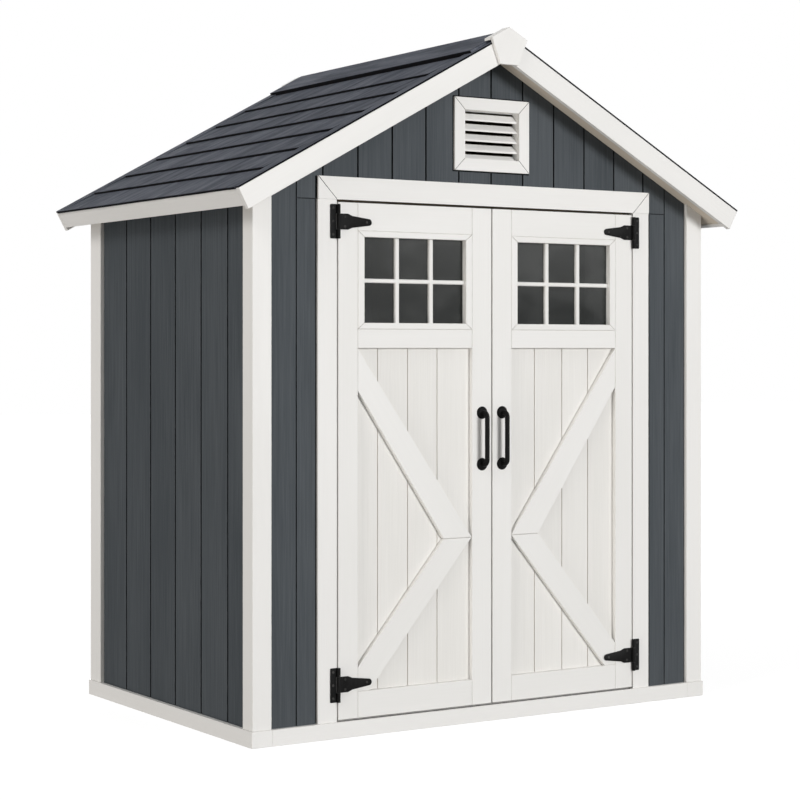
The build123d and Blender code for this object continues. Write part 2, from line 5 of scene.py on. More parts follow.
import bmesh
import bpy
from mathutils import Matrix, Vector

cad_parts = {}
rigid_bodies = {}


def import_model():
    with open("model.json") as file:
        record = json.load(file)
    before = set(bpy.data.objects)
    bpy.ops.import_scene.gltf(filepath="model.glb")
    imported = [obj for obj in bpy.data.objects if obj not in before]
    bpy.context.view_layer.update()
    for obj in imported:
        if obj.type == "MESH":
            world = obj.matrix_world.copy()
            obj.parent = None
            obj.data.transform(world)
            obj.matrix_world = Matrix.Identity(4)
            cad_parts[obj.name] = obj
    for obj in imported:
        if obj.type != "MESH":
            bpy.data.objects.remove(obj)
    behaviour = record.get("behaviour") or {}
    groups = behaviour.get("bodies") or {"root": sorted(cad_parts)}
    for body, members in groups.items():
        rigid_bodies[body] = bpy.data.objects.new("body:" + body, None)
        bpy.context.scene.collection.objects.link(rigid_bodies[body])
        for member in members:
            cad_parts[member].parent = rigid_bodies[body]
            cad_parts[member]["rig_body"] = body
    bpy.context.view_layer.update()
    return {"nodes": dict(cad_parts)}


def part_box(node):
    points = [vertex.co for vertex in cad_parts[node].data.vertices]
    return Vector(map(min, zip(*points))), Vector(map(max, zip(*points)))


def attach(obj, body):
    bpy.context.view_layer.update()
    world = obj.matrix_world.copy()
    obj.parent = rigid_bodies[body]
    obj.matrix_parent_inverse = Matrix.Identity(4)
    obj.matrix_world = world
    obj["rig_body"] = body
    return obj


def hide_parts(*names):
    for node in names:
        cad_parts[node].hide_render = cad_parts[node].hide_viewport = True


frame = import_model()
NODES = frame["nodes"]
SCENE = bpy.context.scene

# Metres, in the part's own frame: the doors face -Y and Z is up.
WELD = 1e-6
TOLERANCE = 1e-4
PLANE_REACH = 0.0004
FACING = 0.7
FLAT_ANGLE = math.radians(0.3)
SHARP_ANGLE = math.radians(25)
FULL_HEIGHT = (0.0, 2.4)
RIGHT = Vector((1, 0, 0))
BACK = Vector((0, 1, 0))
UP = Vector((0, 0, 1))

# How far a cutter stands out of the face that it cuts, past a board's edge, and under the trim beside it
CUTTER_PROUD = 0.004
CUTTER_PAST = 0.002
CUTTER_LAP = 0.001

# Radius of rounded edges, the last ones by node or by slot
BOARD_ROUND = 0.0012
THIN_ROUND = 0.0010
PANEL_ROUND = 0.0006
LINING_ROUND = 0.0004
IRON_ROUND = 0.0005
OTHER_ROUNDS = {"vent_louvres": 0.0008, "door_paint": 0.0018}

# Boarding
SIDING_PITCH = 0.131
SIDING_SLOT = 0.006
SIDING_SLOT_DEPTH = 0.009
SIDE_SLOT = 0.008
SIDE_SLOT_DEPTH = 0.010
SIDE_GROOVES = (0.327, 0.136, -0.052, -0.239, -0.423)
INNER_SLOT = 0.002
INNER_SLOT_DEPTH = 0.0015
# Added to the side walls' board tone: painted shade on the side away from the key light
SIDE_PAINTED_SHADE_TONE = 2.6
GABLE_HALF = 0.75225
GABLE_SEAM = 0.004
GABLE_SEAM_DEPTH = 0.005
HEAD_Z = 1.71975
HEAD_SEAM = 0.003
HEAD_SEAM_DEPTH = 0.004
HEADER_TOP_Z = 1.793
OPENING_HALF = 0.606
CASING_HALF = 0.676
CASING_SLOT = 0.0075
POST_INNER_X = 0.847
POST_SLOT = 0.005
POST_GAP_Y = (-0.542, 0.522)
END_SLOT = 0.008
PANEL_SLOT = 0.003
PANEL_SLOT_DEPTH = 0.0028
PANEL_SPAN = (0.1, 1.3)
LEFT_PANEL_GROOVES = (-0.443, -0.327, -0.211)
RIGHT_PANEL_GROOVES = (0.188, 0.305, 0.417)
DOOR_TIMBERS = ("stiles", "rails", "braces", "window_frame")
FLOOR_PITCH = 0.112
FLOOR_SLOT = 0.0015
FLOOR_SLOT_DEPTH = 0.005
FLOOR_REACH = 1.0

# Vent
VENT_HALF = 0.152
VENT_HOLE_HALF = 0.111
VENT_LOW_Z = 1.836
VENT_HIGH_Z = 2.079
VENT_HOLE_LOW_Z = 1.877
VENT_HOLE_HIGH_Z = 2.038
VENT_SLOT = 0.0045
VENT_SLOT_DEPTH = 0.008
LINING_Y = (-0.5965, -0.566)
LINING_THICKNESS = 0.002
LINING_GAP = 0.0002

# Mitre lines, and the groove under the doors
TRIM_FACE_Y = -0.604
KERF_REAR_Y = -0.5985
KERF_DEPTH = 0.004
KERF_PROUD = 0.002
KERF_PAST = 0.003
CASING_KERF = 0.0018
VENT_KERF = 0.0014
DRIP_HALF = 0.6035
DRIP_Y = (-0.6004, -0.584)
DRIP_DEPTH = 0.003

# Roof
ROOF_ANGLE = math.radians(28.5)
LIP_Y = 0.690
BUTT_WEAR = 0.0022
BUTT_REACH = 0.02
FIRST_STEP = (0.04, 0.12)
NEXT_STEP = (0.05, 0.13)
LAST_STEP = 0.04

# Glazing bars
BAR_UPRIGHT = 0.0155
BAR_CROSS = 0.0135
BAR_FRONT_Y = -0.591
BAR_REAR_Y = -0.573
BAR_CHAMFER = 0.0025
BAR_LAP = 0.0003
BAR_MIDDLE_Z = 1.463
BAR_COLUMNS = (0.2377, 0.3703)

# Hardware
DOOR_FACE_Y = -0.601
HINGE_X = 0.6035
HINGE_PLATE = 0.003
HINGE_LEVELS = (0.170, 1.650)
LEAF_SCREW_X = HINGE_X + 0.018
LEAF_SCREW_LEVELS = (-0.042, 0.0, 0.042)
ROOT_SCREW_X = HINGE_X - 0.026
ROOT_SCREW_LEVELS = (-0.016, 0.016)
TIP_SCREW_X = HINGE_X - 0.108
HANDLE_X = 0.041
HANDLE_LOW_Z = 0.858
HANDLE_HIGH_Z = 1.030
HANDLE_BAR_Y = -0.632
HANDLE_RADIUS = 0.008
HANDLE_SIDES = 24
HANDLE_BEND = 0.016
BEND_STEPS = 10
HANDLE_CREASE = 50
IRON_CREASE = 30

# Turned shapes, as pairs of radius and height
ROSE = (
    (0, 0), (0.0208, 0), (0.0208, 0.0020), (0.0196, 0.0036), (0.0160, 0.0056), (0.0116, 0.0076), (0.0092, 0.0082),
    (0, 0.0082),
)
ROSE_SIDES = 48
SCREW = ((0, -0.0004), (0.0044, -0.0004), (0.0044, 0.0004), (0.0038, 0.0012), (0.0026, 0.0017), (0, 0.0018))
SCREW_SIDES = 24
RECESS_HALF_LENGTH = 0.0024
RECESS_HALF_WIDTH = 0.0005
RECESS_Y = (-0.003, -0.0009)

# Noise: its scale a metre along, across and through a board, its detail and its roughness
FINE_GRAIN = ((7.0, 420.0, 420.0), 4.0, 0.6)
COARSE_GRAIN = ((3.0, 150.0, 150.0), 4.0, 0.6)
PAINT_PATCHES = ((1.6, 5.0, 5.0), 2.0, 0.5)
PAINT_CHIPS = ((30.0, 120.0, 120.0), 3.0, 0.6)
RING_BENDS = ((1.2, 7.0, 7.0), 2.0, 0.5)
PORES = ((12.0, 700.0, 700.0), 3.0, 0.6)
ROOF_STREAKS = ((4.5, 26.0, 26.0), 4.0, 0.62)
ROOF_GRAIN = ((22.0, 380.0, 380.0), 4.0, 0.65)
ROOF_PATCHES = ((3.0, 6.0, 6.0), 2.0, 0.5)

# The same along X, Y and Z
IRON_SKIN = ((1500.0, 1500.0, 1500.0), 2.0, 0.5)
IRON_PATCHES = ((90.0, 90.0, 90.0), 3.0, 0.55)
GLASS_REFLECTION_PATCHES = ((6.0, 6.0, 9.0), 3.0, 0.5)
GLASS_SMEARS = ((26.0, 26.0, 60.0), 3.0, 0.6)

# Painted wood: its colour, its edge colour (wear, and on the siding a painted highlight), its painted shade in grooves
# and kerfs, how far the darker one shows as grain, how it takes light, and its painted shade toward the ground
PAINTS = {
    "trim_paint": {
        "light": (0.835, 0.825, 0.805),
        "dark": (0.745, 0.735, 0.71),
        "edge_colour": (0.69, 0.67, 0.63),
        # Groove colour: painted shade in the mitre kerfs and the drip groove
        "painted_groove_shade": (0.05, 0.045, 0.04),
        "grain_share": 0.10,
        "roughness": 0.48,
        "specular": 0.4,
        "relief": 0.00025,
        "painted_ground_shade": 0.93,
    },
    "door_paint": {
        "light": (0.83, 0.82, 0.80),
        "dark": (0.74, 0.73, 0.70),
        "edge_colour": (0.68, 0.66, 0.62),
        "painted_groove_shade": (0.20, 0.18, 0.16),
        "grain_share": 0.10,
        "roughness": 0.48,
        "specular": 0.4,
        "relief": 0.00025,
        "painted_ground_shade": 0.92,
    },
    "panel_paint": {
        "light": (0.83, 0.815, 0.785),
        "dark": (0.71, 0.695, 0.66),
        "edge_colour": (0.64, 0.62, 0.58),
        "painted_groove_shade": (0.66, 0.63, 0.58),
        "grain_share": 0.20,
        "roughness": 0.52,
        "specular": 0.35,
        "relief": 0.0004,
        "painted_ground_shade": 0.93,
    },
    "soffit_paint": {
        "light": (0.74, 0.67, 0.57),
        "dark": (0.60, 0.53, 0.445),
        "edge_colour": (0.40, 0.36, 0.30),
        "painted_groove_shade": (0.10, 0.09, 0.08),
        "grain_share": 0.12,
        "roughness": 0.65,
        "specular": 0.2,
        "relief": 0.0003,
        "painted_ground_shade": 1.0,
    },
    "siding_paint": {
        "light": (0.096, 0.107, 0.117),
        "dark": (0.050, 0.058, 0.065),
        # Edge colour lighter than the paint: a painted highlight along the board edges
        "edge_colour": (0.15, 0.165, 0.175),
        # Near-black groove colour: painted shade in the siding's grooves and gaps
        "painted_groove_shade": (0.006, 0.007, 0.008),
        "grain_share": 0.34,
        "roughness": 0.70,
        "specular": 0.12,
        "relief": 0.0006,
        "painted_ground_shade": 0.86,
    },
}
TIMBER_LIGHT = (0.62, 0.47, 0.30)
TIMBER_DARK = (0.42, 0.27, 0.14)
# Near-black painted shade on the door stops' faces behind the doors
TIMBER_PAINTED_SHADE = (0.008, 0.007, 0.006)
TIMBER_RELIEF = 0.0004
RING_SWING = 0.09
RING_WAVES = 520.0
ROOF_DARK = (0.050, 0.056, 0.071)
ROOF_PALE = (0.165, 0.178, 0.210)
# Painted shade: dark on the roof's rounded edges, near black on its butts and rake edges
ROOF_EDGE_SHADE = (0.022, 0.024, 0.030)
ROOF_BUTT_SHADE = (0.005, 0.005, 0.006)
ROOF_RELIEF = 0.0006
IRON_DARK = (0.003, 0.003, 0.003)
IRON_PALE = (0.007, 0.007, 0.007)
# Grey on iron edges and screw heads: wear and a painted highlight
IRON_WEAR_AND_HIGHLIGHT = (0.060, 0.059, 0.057)
IRON_RELIEF = 0.0002
GLASS_DARK = (0.010, 0.012, 0.011)
# Paler colour of the glass's painted reflection
GLASS_PAINTED_REFLECTION = (0.075, 0.078, 0.076)
# Height at which the painted shade toward the ground ends
PAINTED_SHADE_TOP_Z = 1.9
# Heights over which the glass's painted reflection fades in
PAINTED_REFLECTION_Z = (1.46, 1.70)

# Surroundings and lamps: a lamp's name, direction, strength, angle in degrees and colour
WORLD_LIGHT = 0.34
STAGE_COLOUR = (0.22, 0.22, 0.22)
STAGE_GLOW = 0.90
STAGE_HALF = 30.0
STAGE_Z = -0.0005
LAMPS = (
    ("key", (-0.30, 0.94, -0.16), 2.10, 19, (1.0, 1.0, 1.0)),
    ("fill", (0.80, 0.15, -0.58), 1.00, 26, (1.0, 0.98, 0.96)),
    ("ground", (0.85, 0.25, 0.30), 1.00, 30, (1.0, 0.95, 0.89)),
    ("rear", (-0.35, -0.92, -0.15), 0.90, 20, (1.0, 1.0, 1.0)),
)

# Camera
CAMERA_PLACE = (-3.9881, -6.2279, 1.2406)
CAMERA_TURN = (math.radians(90), 0.0, math.radians(-32.766))
CAMERA_LENS = 92.54
CAMERA_SENSOR = 36.0
CAMERA_SHIFT_Y = -0.063
CAMERA_REACH = 100.0


def new_material(name):
    """An empty material with one shader joined to its output."""
    material = bpy.data.materials.new(name)
    material.use_nodes = True
    tree = material.node_tree
    tree.nodes.clear()
    shader = tree.nodes.new("ShaderNodeBsdfPrincipled")
    output = tree.nodes.new("ShaderNodeOutputMaterial")
    tree.links.new(shader.outputs["BSDF"], output.inputs["Surface"])
    return material, tree, shader


def attribute(tree, name):
    """Vector that the mesh stores under this name."""
    node = tree.nodes.new("ShaderNodeAttribute")
    node.attribute_name = name
    return node.outputs["Vector"]


def split(tree, vector):
    """The three parts of a vector."""
    node = tree.nodes.new("ShaderNodeSeparateXYZ")
    tree.links.new(vector, node.inputs[0])
    return node.outputs


def noise(tree, vector, kind):
    """Noise stretched by a scale of its own on each axis."""
    scale, detail, rough = kind
    mapping = tree.nodes.new("ShaderNodeMapping")
    mapping.inputs["Scale"].default_value = scale
    tree.links.new(vector, mapping.inputs["Vector"])
    node = tree.nodes.new("ShaderNodeTexNoise")
    node.inputs["Scale"].default_value = 1.0
    node.inputs["Detail"].default_value = detail
    node.inputs["Roughness"].default_value = rough
    tree.links.new(mapping.outputs["Vector"], node.inputs["Vector"])
    return node.outputs["Fac"]


def spread(tree, value, low, high, new_low, new_high):
    """Maps a value from one range to another and keeps it there."""
    node = tree.nodes.new("ShaderNodeMapRange")
    for index, number in enumerate((low, high, new_low, new_high), start=1):
        node.inputs[index].default_value = number
    tree.links.new(value, node.inputs[0])
    return node.outputs[0]


def combine(tree, kind, first, second):
    """Arithmetic on two sockets, or on a socket and a number."""
    node = tree.nodes.new("ShaderNodeMath")
    node.operation = kind
    for index, value in enumerate((first, second)):
        if isinstance(value, (int, float)):
            node.inputs[index].default_value = value
        else:
            tree.links.new(value, node.inputs[index])
    return node.outputs[0]


def blend_colours(tree, factor, first, second):
    """Colour between two, each a socket or three numbers."""
    node = tree.nodes.new("ShaderNodeMix")
    node.data_type = "RGBA"
    tree.links.new(factor, node.inputs["Factor"])
    for index, value in ((6, first), (7, second)):
        if isinstance(value, tuple):
            node.inputs[index].default_value = (*value, 1.0)
        else:
            tree.links.new(value, node.inputs[index])
    return node.outputs[2]


def dim(tree, colour, factor):
    """Colour scaled by a number from a socket."""
    node = tree.nodes.new("ShaderNodeVectorMath")
    node.operation = "SCALE"
    tree.links.new(colour, node.inputs[0])
    tree.links.new(factor, node.inputs["Scale"])
    return node.outputs[0]


def bump(tree, shader, height, distance):
    """Relief of the given height on the shader's normal."""
    node = tree.nodes.new("ShaderNodeBump")
    node.inputs["Distance"].default_value = distance
    tree.links.new(height, node.inputs["Height"])
    tree.links.new(node.outputs["Normal"], shader.inputs["Normal"])


def painted_wood(name, light, dark, edge_colour, painted_groove_shade, grain_share, roughness, specular, relief, painted_ground_shade):
    """Brushed paint on timber: fine grain, patches, a tone a board with painted shade on the side walls, rubbed edges
    with a painted highlight on the siding, painted shade in grooves and kerfs, and painted shade darker toward the
    ground.
    """
    material, tree, shader = new_material(name)
    grain = attribute(tree, "grain")
    tone, edge, painted_shade_mask = split(tree, attribute(tree, "board"))
    fine = noise(tree, grain, FINE_GRAIN)
    coarse = noise(tree, grain, COARSE_GRAIN)
    patch = noise(tree, grain, PAINT_PATCHES)
    brushed = combine(tree, "MULTIPLY", spread(tree, fine, 0.3, 0.7, 0.0, 1.0), grain_share)
    brushed = combine(tree, "ADD", brushed, spread(tree, coarse, 0.35, 0.75, 0.0, grain_share))
    brushed = combine(tree, "ADD", brushed, spread(tree, patch, 0.3, 0.7, 0.0, 0.35))
    # A board's tone; the side walls' extra tone here is painted shade
    brushed = combine(tree, "ADD", brushed, spread(tree, tone, -1.0, 5.0, -0.06, 0.54))
    colour = blend_colours(tree, brushed, light, dark)
    # Painted shade: every paint is darker toward the ground
    height = split(tree, tree.nodes.new("ShaderNodeTexCoord").outputs["Object"])[2]
    height = combine(tree, "ADD", height, spread(tree, patch, 0.3, 0.7, -0.15, 0.15))
    colour = dim(tree, colour, spread(tree, height, 0.0, PAINTED_SHADE_TOP_Z, painted_ground_shade, 1.0))
    # Rounded edges take the edge colour: wear on the light paints, a painted highlight on the siding
    chip = noise(tree, grain, PAINT_CHIPS)
    edge_wear_and_highlight = combine(tree, "MULTIPLY", edge, spread(tree, chip, 0.45, 0.70, 0.15, 0.9))
    colour = blend_colours(tree, edge_wear_and_highlight, colour, edge_colour)
    # Painted shade on the faces inside grooves, kerfs and gaps
    colour = blend_colours(tree, combine(tree, "MULTIPLY", painted_shade_mask, 0.95), colour, painted_groove_shade)
    tree.links.new(colour, shader.inputs["Base Color"])
    tree.links.new(spread(tree, coarse, 0.3, 0.7, roughness - 0.07, roughness + 0.07), shader.inputs["Roughness"])
    shader.inputs["Specular IOR Level"].default_value = specular
    bump(tree, shader, combine(tree, "ADD", fine, coarse), relief)
    return material


def bare_timber():
    """Planed softwood with growth lines and pores, and near-black painted shade where a face is marked for it."""
    material, tree, shader = new_material("bare_timber")
    grain = attribute(tree, "grain")
    tone, edge, painted_shade_mask = split(tree, attribute(tree, "board"))
    bend = noise(tree, grain, RING_BENDS)
    across = split(tree, grain)[1]
    bent = combine(tree, "ADD", across, combine(tree, "MULTIPLY", bend, RING_SWING))
    rings = combine(tree, "SINE", combine(tree, "MULTIPLY", bent, RING_WAVES), 0.0)
    pores = noise(tree, grain, PORES)
    figure = spread(tree, rings, -1.0, 1.0, 0.10, 0.62)
    figure = combine(tree, "ADD", figure, spread(tree, pores, 0.35, 0.70, -0.12, 0.25))
    figure = combine(tree, "ADD", figure, spread(tree, tone, -1.0, 1.0, -0.12, 0.18))
    colour = blend_colours(tree, figure, TIMBER_LIGHT, TIMBER_DARK)
    edge_colour = tuple(0.75 * part for part in TIMBER_LIGHT)
    colour = blend_colours(tree, combine(tree, "MULTIPLY", edge, 0.35), colour, edge_colour)
    colour = blend_colours(tree, painted_shade_mask, colour, TIMBER_PAINTED_SHADE)
    tree.links.new(colour, shader.inputs["Base Color"])
    tree.links.new(spread(tree, pores, 0.3, 0.7, 0.55, 0.72), shader.inputs["Roughness"])
    bump(tree, shader, combine(tree, "ADD", pores, combine(tree, "MULTIPLY", rings, 0.15)), TIMBER_RELIEF)
    return material


def roof_covering_paint():
    """Dark slate-blue courses with pale brushed streaks down the slope, weathered patches, and painted shade on the
    butts and edges.
    """
    material, tree, shader = new_material("roof_covering")
    grain = attribute(tree, "grain")
    tone, edge, painted_shade_mask = split(tree, attribute(tree, "board"))
    streaks = noise(tree, grain, ROOF_STREAKS)
    fine = noise(tree, grain, ROOF_GRAIN)
    patch = noise(tree, grain, ROOF_PATCHES)
    pale = combine(tree, "MULTIPLY", spread(tree, streaks, 0.38, 0.68, 0.0, 1.0), 0.60)
    pale = combine(tree, "ADD", pale, spread(tree, fine, 0.35, 0.70, 0.0, 0.25))
    pale = combine(tree, "ADD", pale, spread(tree, patch, 0.3, 0.7, -0.10, 0.15))
    pale = combine(tree, "ADD", pale, spread(tree, tone, -1.0, 1.0, -0.08, 0.08))
    colour = blend_colours(tree, pale, ROOF_DARK, ROOF_PALE)
    # Painted shade on the rounded edges, and near-black painted shade on the butts and rake edges
    colour = blend_colours(tree, combine(tree, "MULTIPLY", edge, 0.75), colour, ROOF_EDGE_SHADE)
    colour = blend_colours(tree, painted_shade_mask, colour, ROOF_BUTT_SHADE)
    tree.links.new(colour, shader.inputs["Base Color"])
    tree.links.new(spread(tree, fine, 0.3, 0.7, 0.80, 0.92), shader.inputs["Roughness"])
    shader.inputs["Specular IOR Level"].default_value = 0.05
    bump(tree, shader, combine(tree, "ADD", fine, streaks), ROOF_RELIEF)
    return material


def black_iron():
    """Powder-coated iron with a fine orange-peel texture, and grey on its edges and screw heads that is wear and a
    painted highlight.
    """
    material, tree, shader = new_material("black_iron")
    place = tree.nodes.new("ShaderNodeTexCoord").outputs["Object"]
    edge = split(tree, attribute(tree, "board"))[1]
    fine = noise(tree, place, IRON_SKIN)
    patch = noise(tree, place, IRON_PATCHES)
    colour = blend_colours(tree, spread(tree, patch, 0.35, 0.70, 0.0, 1.0), IRON_DARK, IRON_PALE)
    # Edges and screw heads: painted highlight, with wear
    edge_wear_and_highlight = combine(tree, "MULTIPLY", edge, spread(tree, patch, 0.35, 0.65, 0.4, 1.0))
    colour = blend_colours(tree, edge_wear_and_highlight, colour, IRON_WEAR_AND_HIGHLIGHT)
    tree.links.new(colour, shader.inputs["Base Color"])
    tree.links.new(spread(tree, patch, 0.3, 0.7, 0.40, 0.56), shader.inputs["Roughness"])
    shader.inputs["Specular IOR Level"].default_value = 0.07
    bump(tree, shader, fine, IRON_RELIEF)
    return material


def window_glass():
    """Smoky pane with a painted reflection: paler and patchy in its upper half, darker below, with faint smears."""
    material, tree, shader = new_material("window_glass")
    place = tree.nodes.new("ShaderNodeTexCoord").outputs["Object"]
    across, _, height = split(tree, place)
    reflection_patch = noise(tree, place, GLASS_REFLECTION_PATCHES)
    smear = noise(tree, place, GLASS_SMEARS)
    # Painted reflection: paler toward the top and on the left, in soft patches
    slant = combine(tree, "ADD", height, combine(tree, "MULTIPLY", reflection_patch, 0.20))
    upper = spread(tree, slant, *PAINTED_REFLECTION_Z, 0.0, 1.0)
    upper = combine(tree, "MULTIPLY", upper, spread(tree, across, -0.5, 0.2, 0.35, 0.9))
    painted_reflection = combine(tree, "ADD", upper, spread(tree, across, -0.5, 0.4, 0.25, 0.0))
    painted_reflection = combine(tree, "ADD", painted_reflection, spread(tree, reflection_patch, 0.42, 0.62, 0.0, 0.25))
    colour = blend_colours(tree, painted_reflection, GLASS_DARK, GLASS_PAINTED_REFLECTION)
    tree.links.new(colour, shader.inputs["Base Color"])
    tree.links.new(spread(tree, smear, 0.3, 0.7, 0.03, 0.12), shader.inputs["Roughness"])
    shader.inputs["Alpha"].default_value = 0.78
    shader.inputs["IOR"].default_value = 1.5
    shader.inputs["Specular IOR Level"].default_value = 0.35
    return material


MATERIALS = {slot: painted_wood(slot, **values) for slot, values in PAINTS.items()}
MATERIALS["bare_timber"] = bare_timber()
MATERIALS["roof_covering"] = roof_covering_paint()
MATERIALS["black_iron"] = black_iron()
MATERIALS["window_glass"] = window_glass()


def read_node(name):
    """A copy of a node's mesh, welded, with each flat face whole."""
    bm = bmesh.new()
    bm.from_mesh(NODES[name].data)
    clean(bm)
    return bm


def clean(bm):
    """Welds doubled points, merges coplanar faces and turns every normal outward."""
    bmesh.ops.remove_doubles(bm, verts=bm.verts, dist=WELD)
    bmesh.ops.dissolve_limit(bm, angle_limit=FLAT_ANGLE, verts=bm.verts, edges=bm.edges)
    bmesh.ops.recalc_face_normals(bm, faces=bm.faces)


def add_box(bm, low, high):
    """Block between two corners."""
    middle = [(a + b) / 2 for a, b in zip(low, high)]
    size = [abs(b - a) for a, b in zip(low, high)]
    place = Matrix.Translation(middle) @ Matrix.Diagonal((*size, 1.0))
    bmesh.ops.create_cube(bm, size=1.0, matrix=place)


def add_prism(bm, section, offset):
    """Closed prism from a polygon's points, pushed along an offset."""
    near = [bm.verts.new(point) for point in section]
    far = [bm.verts.new(Vector(point) + Vector(offset)) for point in section]
    bm.faces.new(near)
    bm.faces.new(reversed(far))
    count = len(section)
    for index in range(count):
        after = (index + 1) % count
        bm.faces.new((near[after], near[index], far[index], far[after]))


def add_kerf(bm, start, end, width, front, depth):
    """Saw cut along a line in X and Z, into a face that looks toward -Y."""
    run = Vector((end[0] - start[0], 0, end[1] - start[1])).normalized()
    side = run.cross(BACK) * width / 2
    first = Vector((start[0], front - KERF_PROUD, start[1])) - run * KERF_PAST
    last = Vector((end[0], front - KERF_PROUD, end[1])) + run * KERF_PAST
    add_prism(bm, [first + side, first - side, last - side, last + side], (0, depth + KERF_PROUD, 0))


def to_object(name, bm):
    """A linked object from a bmesh, which is used up."""
    mesh = bpy.data.meshes.new(name)
    bm.to_mesh(mesh)
    bm.free()
    made = bpy.data.objects.new(name, mesh)
    SCENE.collection.objects.link(made)
    return made


def cut(bm, cutters):
    """What is left of one closed mesh once the other's solids are taken away."""
    bmesh.ops.recalc_face_normals(cutters, faces=cutters.faces)
    body = to_object("cut_body", bm)
    tool = to_object("cut_tool", cutters)
    modifier = body.modifiers.new("cut", "BOOLEAN")
    modifier.operation = "DIFFERENCE"
    modifier.solver = "EXACT"
    modifier.use_self = True
    modifier.object = tool
    graph = bpy.context.evaluated_depsgraph_get()
    result = bmesh.new()
    result.from_object(body, graph)
    for used in (body, tool):
        mesh = used.data
        bpy.data.objects.remove(used)
        bpy.data.meshes.remove(mesh)
    clean(result)
    return result


def soften(bm, width):
    """Rounds the outer edges and returns the faces of the rounds."""
    edges = [e for e in bm.edges if e.is_manifold and e.is_convex and e.calc_face_angle() > SHARP_ANGLE]
    made = bmesh.ops.bevel(
        bm,
        geom=edges,
        offset=width,
        offset_type="OFFSET",
        segments=2,
        profile=0.5,
        affect="EDGES",
        clamp_overlap=True,
    )
    bm.normal_update()
    return set(made["faces"])


def islands(bm):
    """Groups of faces that hang together, in the mesh's own order."""
    bm.faces.ensure_lookup_table()
    bm.faces.index_update()
    found = []
    seen = set()
    for start in bm.faces:
        if start.index in seen:
            continue
        seen.add(start.index)
        group = [start]
        for face in group:
            for edge in face.edges:
                for other in edge.link_faces:
                    if other.index not in seen:
                        seen.add(other.index)
                        group.append(other)
        found.append(group)
    return found


def strips(bm, axis, lines):
    """Groups of faces that lie between neighbouring lines across one axis."""
    groups = {}
    for face in bm.faces:
        place = face.calc_center_median()[axis]
        groups.setdefault(sum(place > line for line in sorted(lines)), []).append(face)
    return [groups[key] for key in sorted(groups)]


def board_axes(faces, along):
    """Directions along, across and through a board."""
    if along is None:
        edges = [edge for face in faces for edge in face.edges]
        longest = max(edges, key=lambda edge: round(edge.calc_length(), 5))
        along = (longest.verts[1].co - longest.verts[0].co).normalized()
        if max(along, key=abs) < 0:
            along = -along
    widest = max(faces, key=lambda face: round(face.calc_area(), 6) * (1 - abs(face.normal.dot(along))))
    across = widest.normal.cross(along).normalized()
    return Matrix((along, across, along.cross(across)))


def add_layers(bm):
    """Room on the face corners for the grain's coordinates and the board's tone, edges and painted shade."""
    return bm.loops.layers.float_vector.new("grain"), bm.loops.layers.float_vector.new("board")


def mark_boards(boards, layers, rounds, along, rng, recessed=None, painted_shade_tone=0.0):
    """Gives each board its own stretch of grain, its tone, its rounded edges for wear and painted highlight, and
    painted shade on the faces that the test picks.
    """
    grain, board = layers
    for faces in boards:
        turn = board_axes(faces, along(faces) if callable(along) else along)
        shift = Vector((rng.uniform(0, 30), rng.uniform(0, 30), rng.uniform(0, 30)))
        tone = rng.uniform(-1, 1) + painted_shade_tone
        for face in faces:
            painted_shade_flag = float(bool(recessed and recessed(face) and face not in rounds))
            mark = Vector((tone, float(face in rounds), painted_shade_flag))
            for loop in face.loops:
                loop[grain] = turn @ loop.vert.co + shift
                loop[board] = mark


def finish_piece(name, bm, slot, body, replaced=()):
    """Makes a mesh into a piece of the object, with its material, body and nodes."""
    piece = to_object(name, bm)
    piece.data.materials.append(MATERIALS[slot])
    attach(piece, body)
    if replaced:
        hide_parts(*replaced)
    return piece


def dress(node, slot, width, along=None, cutters=None, lines=None, axis=0, recessed=None, shape=None, painted_shade_tone=0.0):
    """Stands for a wooden node: rounded edges, cut grooves and grain that runs along each board."""
    bm = read_node(node)
    if cutters is not None:
        bm = cut(bm, cutters)
    if shape is not None:
        shape(bm)
    layers = add_layers(bm)
    rounds = soften(bm, width)
    boards = strips(bm, axis, lines) if lines else islands(bm)
    mark_boards(boards, layers, rounds, along, random.Random(node), recessed, painted_shade_tone)
    return finish_piece("look_" + node, bm, slot, NODES[node]["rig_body"], (node,))


def slot_box(bm, axis, across, through, upright):
    """Block given by its ranges across a wall, through it and along Z."""
    across, through, upright = sorted(across), sorted(through), sorted(upright)
    if axis == 0:
        add_box(bm, (across[0], through[0], upright[0]), (across[1], through[1], upright[1]))
    else:
        add_box(bm, (through[0], across[0], upright[0]), (through[1], across[1], upright[1]))


def groove_boxes(bm, lines, planes, width, depth, axis, span=FULL_HEIGHT):
    """Slots along Z in the outer face of a wall, and hairlines in its inner face."""
    outer, inner = planes
    toward = math.copysign(1.0, inner - outer)
    for line in lines:
        through = (outer - toward * CUTTER_PROUD, outer + toward * depth)
        slot_box(bm, axis, (line - width / 2, line + width / 2), through, span)
        through = (inner + toward * CUTTER_PROUD, inner - toward * INNER_SLOT_DEPTH)
        slot_box(bm, axis, (line - INNER_SLOT / 2, line + INNER_SLOT / 2), through, span)


def wall_planes(node, axis):
    """Positions of a wall's two faces across its thickness, outer one first."""
    low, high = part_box(node)
    return sorted((low[axis], high[axis]), key=abs, reverse=True)


def off_planes(planes, axis):
    """Test for faces that lie in a groove, away from both faces of the wall; these get painted shade."""
    return lambda face: all(abs(face.calc_center_median()[axis] - plane) > PLANE_REACH for plane in planes)


